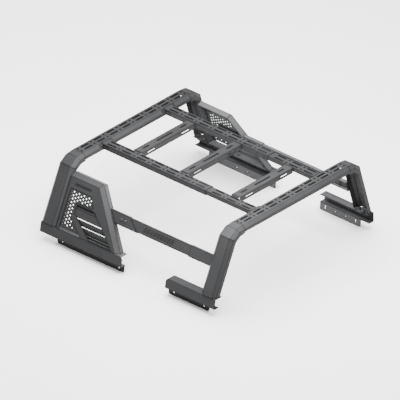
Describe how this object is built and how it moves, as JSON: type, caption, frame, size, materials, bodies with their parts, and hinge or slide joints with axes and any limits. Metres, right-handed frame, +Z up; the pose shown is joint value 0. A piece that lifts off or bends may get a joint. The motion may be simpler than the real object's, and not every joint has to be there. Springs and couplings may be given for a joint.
{
  "type": "truck bed headache rack",
  "caption": "Truck bed rack: headache hoop with louvred side wings, rear hoop, slotted load bars and cross bars, on base rails that seat on the bed walls.",
  "frame": {"origin": "centre of the rack's outline, level with the lower edges of the bed flanges", "axes": "+X towards the tailgate, +Y towards the truck's right, +Z up"},
  "size_m": [1.41, 1.5846, 0.548],
  "materials": {
    "powder_coat": "satin, finely textured powder coat",
    "black_fasteners": "black oxide"
  },
  "bodies": {
    "front_frame": {"front_beam": "powder_coat", "front_cleat_screws": "black_fasteners", "front_cleats_left": "powder_coat", "front_cleats_right": "powder_coat", "front_corner_left": "powder_coat", "front_corner_right": "powder_coat", "front_cross_bar": "powder_coat", "front_cross_bar_brackets": "powder_coat", "front_cross_bar_screws": "black_fasteners", "front_foot_bolts": "black_fasteners", "front_foot_left": "powder_coat", "front_foot_right": "powder_coat", "front_leg_left": "powder_coat", "front_leg_right": "powder_coat", "front_rail_left": "powder_coat", "front_rail_right": "powder_coat", "load_bar_clamp_screws": "black_fasteners", "load_bar_sleeve_left": "powder_coat", "load_bar_sleeve_right": "powder_coat", "middle_cross_bar": "powder_coat", "middle_cross_bar_brackets": "powder_coat", "side_bar_bolts": "powder_coat", "side_bar_front_bracket_left": "powder_coat", "side_bar_front_bracket_right": "powder_coat", "side_bar_left": "powder_coat", "side_bar_right": "powder_coat", "wing_bolts": "black_fasteners", "wing_foot_left": "powder_coat", "wing_foot_right": "powder_coat", "wing_frame_left": "powder_coat", "wing_frame_right": "powder_coat", "wing_louvres_left": "powder_coat", "wing_louvres_right": "powder_coat", "wing_mesh_left": "powder_coat", "wing_mesh_right": "powder_coat"},
    "rear_frame": {"load_bar_slider_left": "powder_coat", "load_bar_slider_right": "powder_coat", "rear_beam": "powder_coat", "rear_cleat_screws": "black_fasteners", "rear_cleats_left": "powder_coat", "rear_cleats_right": "powder_coat", "rear_corner_left": "powder_coat", "rear_corner_right": "powder_coat", "rear_cross_bar": "powder_coat", "rear_cross_bar_brackets": "powder_coat", "rear_cross_bar_screws": "black_fasteners", "rear_foot_bolts": "black_fasteners", "rear_foot_left": "powder_coat", "rear_foot_right": "powder_coat", "rear_leg_left": "powder_coat", "rear_leg_right": "powder_coat", "rear_rail_left": "powder_coat", "rear_rail_right": "powder_coat", "side_bar_clamp_screws": "black_fasteners", "side_bar_rear_bracket_left": "powder_coat", "side_bar_rear_bracket_right": "powder_coat"}
  },
  "joints": [
    {"name": "length_adjust", "type": "slide", "parent": "front_frame", "child": "rear_frame", "axis": [1, 0, 0], "range_m": [-0.055, 0.06]}
  ]
}
